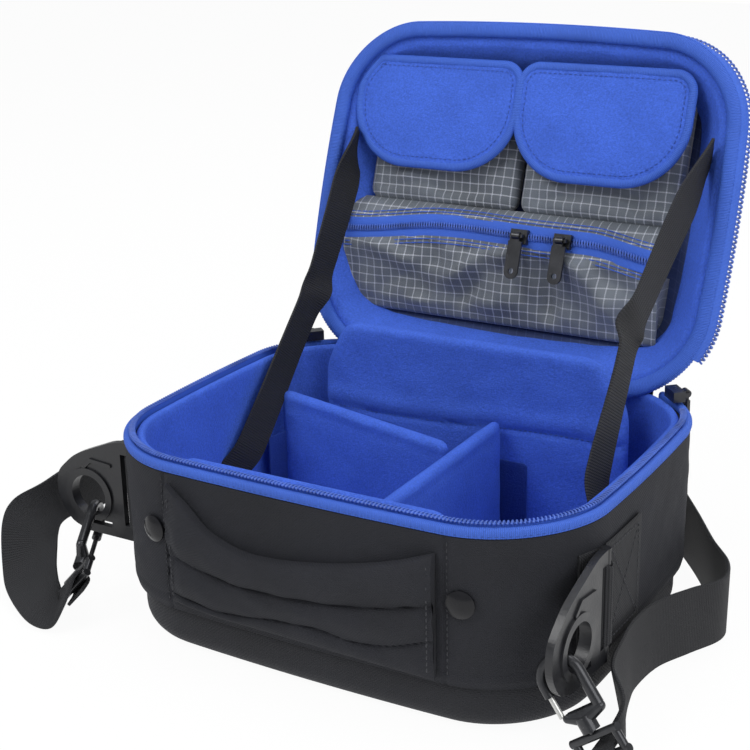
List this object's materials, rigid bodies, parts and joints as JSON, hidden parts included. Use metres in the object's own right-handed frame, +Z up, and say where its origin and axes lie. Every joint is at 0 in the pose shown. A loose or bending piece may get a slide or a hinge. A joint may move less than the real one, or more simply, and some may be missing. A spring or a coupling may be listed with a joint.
{
  "type": "padded clamshell accessory bag",
  "caption": "Stiff padded clamshell bag, open, with fleece lining, dividers, lid pockets, webbing stays, front handle and a hooked shoulder strap",
  "frame": {"origin": "Middle of the underside of the bottom tray, where the bag stands", "axes": "+X along the long side towards the right end, +Y from the handle to the hinge, +Z up"},
  "size_m": [0.3685, 0.3035, 0.2936],
  "materials": {
    "shell_fabric": "matt woven black polyester",
    "tray_fabric": "matt moulded fabric",
    "foam": "matt closed-cell foam",
    "blue_fleece": "soft brushed loop fleece",
    "blue_tape": "woven satin tape",
    "blue_teeth": "satin coil",
    "navy_ripstop": "thin woven lining",
    "grey_ripstop": "coated ripstop with a pale grid",
    "black_webbing": "ribbed woven webbing",
    "hook_tape": "hook-and-loop tape",
    "black_plastic": "satin moulded acetal",
    "dark_metal": "gunmetal lacquer",
    "nickel": "worn nickel plate"
  },
  "bodies": {
    "base": {"base_cover": "shell_fabric", "base_tray": "tray_fabric", "base_foam": "foam", "base_lining": "blue_fleece", "rim_binding": "blue_tape", "rim_zip_tape": "blue_tape", "rim_teeth": "blue_teeth", "floor_pad": "blue_fleece", "front_pad": "blue_fleece", "back_panel": "blue_fleece", "front_rivets": "dark_metal", "ring_tab_left": "black_webbing", "ring_tab_right": "black_webbing", "strap_left": "black_webbing", "strap_right": "black_webbing", "strap_slide": "black_plastic", "hinge_gusset": "shell_fabric", "stay_left": "black_webbing", "stay_right": "black_webbing", "main_slider_left": "dark_metal", "main_slider_right": "dark_metal"},
    "lid": {"lid_cover": "shell_fabric", "lid_foam": "foam", "lid_lining": "navy_ripstop", "lid_binding": "blue_tape", "lid_zip_tape": "blue_tape", "lid_teeth": "blue_teeth", "pocket_left": "grey_ripstop", "pocket_right": "grey_ripstop", "pocket_loop_left": "hook_tape", "pocket_loop_right": "hook_tape", "zip_pocket_top": "grey_ripstop", "zip_pocket_front": "grey_ripstop", "pocket_zip_tape": "blue_tape", "pocket_zip_teeth": "blue_teeth"},
    "divider_long": {"divider_long": "blue_fleece", "divider_long_tab": "hook_tape"},
    "divider_cross": {"divider_cross": "blue_fleece", "divider_cross_tab": "hook_tape"},
    "front_handle": {"front_handle": "shell_fabric"},
    "strap_ring_left": {"strap_ring_left": "black_plastic"},
    "strap_ring_right": {"strap_ring_right": "black_plastic"},
    "strap_end_left": {"swivel_eye_left": "dark_metal"},
    "strap_end_right": {"swivel_eye_right": "dark_metal"},
    "snap_hook_left": {"snap_hook_left": "dark_metal"},
    "snap_hook_right": {"snap_hook_right": "dark_metal"},
    "hook_gate_left": {"hook_gate_left": "dark_metal"},
    "hook_gate_right": {"hook_gate_right": "nickel"},
    "flap_left": {"flap_left": "blue_fleece", "flap_hook_left": "hook_tape"},
    "flap_right": {"flap_right": "blue_fleece", "flap_hook_right": "hook_tape"},
    "pocket_slider_left": {"pocket_slider_left": "dark_metal"},
    "pocket_slider_right": {"pocket_slider_right": "dark_metal"},
    "pocket_puller_left": {"pocket_puller_left": "dark_metal"},
    "pocket_puller_right": {"pocket_puller_right": "dark_metal"},
    "main_puller_left": {"main_puller_left": "dark_metal"},
    "main_puller_right": {"main_puller_right": "dark_metal"}
  },
  "joints": [
    {"name": "lid_hinge", "type": "hinge", "parent": "base", "child": "lid", "pos_m": [0, 0.0885, 0.1074], "axis": [-1, 0, 0], "range_deg": [-109.5, 0], "deforming": ["stay_left", "stay_right", "hinge_gusset"]},
    {"name": "handle_tilt", "type": "hinge", "parent": "base", "child": "front_handle", "pos_m": [0, -0.107, 0.026], "axis": [1, 0, 0], "range_deg": [0, 22]},
    {"name": "ring_left_swing", "type": "hinge", "parent": "base", "child": "strap_ring_left", "pos_m": [-0.13259, -0.06, 0.058], "axis": [0, 0, 1], "range_deg": [-60, 25]},
    {"name": "ring_right_swing", "type": "hinge", "parent": "base", "child": "strap_ring_right", "pos_m": [0.13259, -0.06, 0.058], "axis": [0, 0, 1], "range_deg": [0, 60]},
    {"name": "strap_end_left_swing", "type": "hinge", "parent": "base", "child": "strap_end_left", "pos_m": [-0.13259, -0.06, 0.058], "axis": [0, 0, 1], "range_deg": [-60, 25], "deforming": ["strap_left"]},
    {"name": "strap_end_right_swing", "type": "hinge", "parent": "base", "child": "strap_end_right", "pos_m": [0.13259, -0.06, 0.058], "axis": [0, 0, 1], "range_deg": [0, 60], "deforming": ["strap_right"]},
    {"name": "hook_left_swivel", "type": "hinge", "parent": "strap_end_left", "child": "snap_hook_left", "pos_m": [-0.1462, -0.0946, 0.0206], "axis": [-0.3771, 0.8468, 0.375], "range_deg": [-6, 6]},
    {"name": "gate_left_pivot", "type": "hinge", "parent": "snap_hook_left", "child": "hook_gate_left", "pos_m": [-0.15413, -0.07678, 0.01878], "axis": [0.9135, 0.4068, 0], "range_deg": [0, 20], "stiffness_Nm_per_rad": 0.02},
    {"name": "hook_right_swivel", "type": "hinge", "parent": "strap_end_right", "child": "snap_hook_right", "pos_m": [0.1497, -0.1028, 0.0155], "axis": [-0.6213, 0.1194, 0.7744], "range_deg": [-6, 6]},
    {"name": "gate_right_pivot", "type": "hinge", "parent": "snap_hook_right", "child": "hook_gate_right", "pos_m": [0.13188, -0.10251, 0.02362], "axis": [-0.0828, 0.9728, -0.2164], "range_deg": [0, 20], "stiffness_Nm_per_rad": 0.02},
    {"name": "pocket_slider_left_travel", "type": "slide", "parent": "lid", "child": "pocket_slider_left", "axis": [-1, 0, 0], "range_m": [0, 0.09]},
    {"name": "pocket_puller_left_pivot", "type": "hinge", "parent": "pocket_slider_left", "child": "pocket_puller_left", "pos_m": [0.006, 0.11364, 0.17329], "axis": [-1, 0, 0], "range_deg": [0, 100]},
    {"name": "pocket_slider_right_travel", "type": "slide", "parent": "lid", "child": "pocket_slider_right", "axis": [1, 0, 0], "range_m": [0, 0.04]},
    {"name": "pocket_puller_right_pivot", "type": "hinge", "parent": "pocket_slider_right", "child": "pocket_puller_right", "pos_m": [0.032, 0.11364, 0.17329], "axis": [-1, 0, 0], "range_deg": [0, 100]},
    {"name": "flap_left_fold", "type": "hinge", "parent": "lid", "child": "flap_left", "pos_m": [-0.051, 0.15027, 0.25367], "axis": [-1, 0, 0], "range_deg": [0, 70]},
    {"name": "flap_right_fold", "type": "hinge", "parent": "lid", "child": "flap_right", "pos_m": [0.045, 0.15027, 0.25367], "axis": [-1, 0, 0], "range_deg": [0, 70]},
    {"name": "divider_long_lift", "type": "slide", "parent": "base", "child": "divider_long", "axis": [0, 0, 1], "range_m": [0, 0.09]},
    {"name": "divider_cross_lift", "type": "slide", "parent": "base", "child": "divider_cross", "axis": [0, 0, 1], "range_m": [0, 0.09]},
    {"name": "main_puller_left_pivot", "type": "hinge", "parent": "base", "child": "main_puller_left", "pos_m": [-0.11546, 0.08834, 0.1076], "axis": [0.682, 0.7314, 0], "range_deg": [0, 100]},
    {"name": "main_puller_right_pivot", "type": "hinge", "parent": "base", "child": "main_puller_right", "pos_m": [0.11546, 0.08834, 0.1076], "axis": [0.682, -0.7314, 0], "range_deg": [0, 100]}
  ],
  "couplings": [
    {"joint": "strap_end_left_swing", "follows": "ring_left_swing", "ratio": 1},
    {"joint": "strap_end_right_swing", "follows": "ring_right_swing", "ratio": 1}
  ]
}
